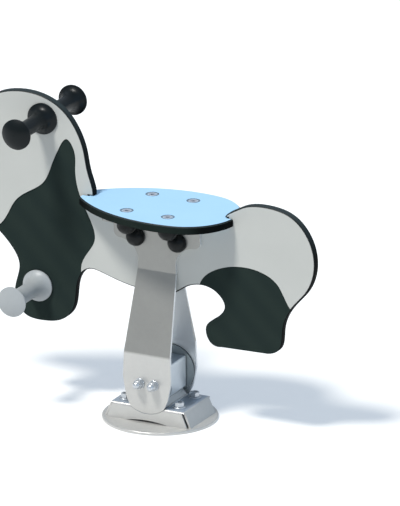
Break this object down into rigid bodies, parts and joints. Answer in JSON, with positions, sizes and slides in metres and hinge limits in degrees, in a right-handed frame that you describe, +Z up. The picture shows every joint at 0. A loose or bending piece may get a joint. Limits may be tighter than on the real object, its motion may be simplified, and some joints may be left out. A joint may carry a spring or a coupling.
{
  "type": "spring rider",
  "caption": "Spring rider in the shape of a spotted animal, with a drop-shaped seat, spool handles and footrests, rocking on a rubber torsion unit.",
  "frame": {"origin": "centre of the ground flange's underside", "axes": "+Z up, +X towards the tail, -Y to the rider's left"},
  "size_m": [0.9131, 0.29, 0.6957],
  "materials": {
    "galvanised_steel": "satin galvanised sheet",
    "zinc_plated_steel": "bright zinc-plated fastener",
    "dark_steel": "dull steel bar",
    "black_rubber": "matt rubber",
    "black_board": "matt dark board",
    "pale_board": "matt pale board skin",
    "blue_board": "matt light blue board skin",
    "black_plastic": "satin moulded plastic",
    "grey_plastic": "satin moulded plastic"
  },
  "bodies": {
    "foot": {"ground_flange": "galvanised_steel", "saddle": "galvanised_steel", "housing_cradle": "galvanised_steel", "torsion_housing": "galvanised_steel", "rubber_inserts": "black_rubber", "anchor_washers": "zinc_plated_steel", "anchor_nuts": "zinc_plated_steel"},
    "rider": {"torsion_core": "dark_steel", "core_disc_left": "galvanised_steel", "core_disc_right": "galvanised_steel", "core_bolts": "zinc_plated_steel", "core_washers": "zinc_plated_steel", "core_dome_nuts": "zinc_plated_steel", "stem_plate_left": "galvanised_steel", "stem_plate_right": "galvanised_steel", "panel_core": "black_board", "panel_skin_left": "pale_board", "panel_skin_right": "pale_board", "seat_core": "black_board", "seat_skin_top": "blue_board", "seat_skin_bottom": "blue_board", "seat_bolts": "zinc_plated_steel", "seat_cap_bases": "black_plastic", "seat_nuts": "zinc_plated_steel", "seat_bolt_caps": "black_plastic", "panel_bolts": "zinc_plated_steel", "panel_cap_bases": "black_plastic", "panel_nuts": "zinc_plated_steel", "panel_bolt_caps": "black_plastic", "handle_left": "black_plastic", "handle_right": "black_plastic", "handle_rod": "zinc_plated_steel", "handle_inserts": "zinc_plated_steel", "footrest_left": "grey_plastic", "footrest_right": "grey_plastic", "footrest_rod": "zinc_plated_steel", "footrest_inserts": "zinc_plated_steel"}
  },
  "joints": [
    {"name": "rock", "type": "hinge", "parent": "foot", "child": "rider", "pos_m": [0, 0, 0.093], "axis": [0, 1, 0], "range_deg": [-15, 15], "stiffness_Nm_per_rad": 600, "deforming": ["rubber_inserts"]}
  ]
}
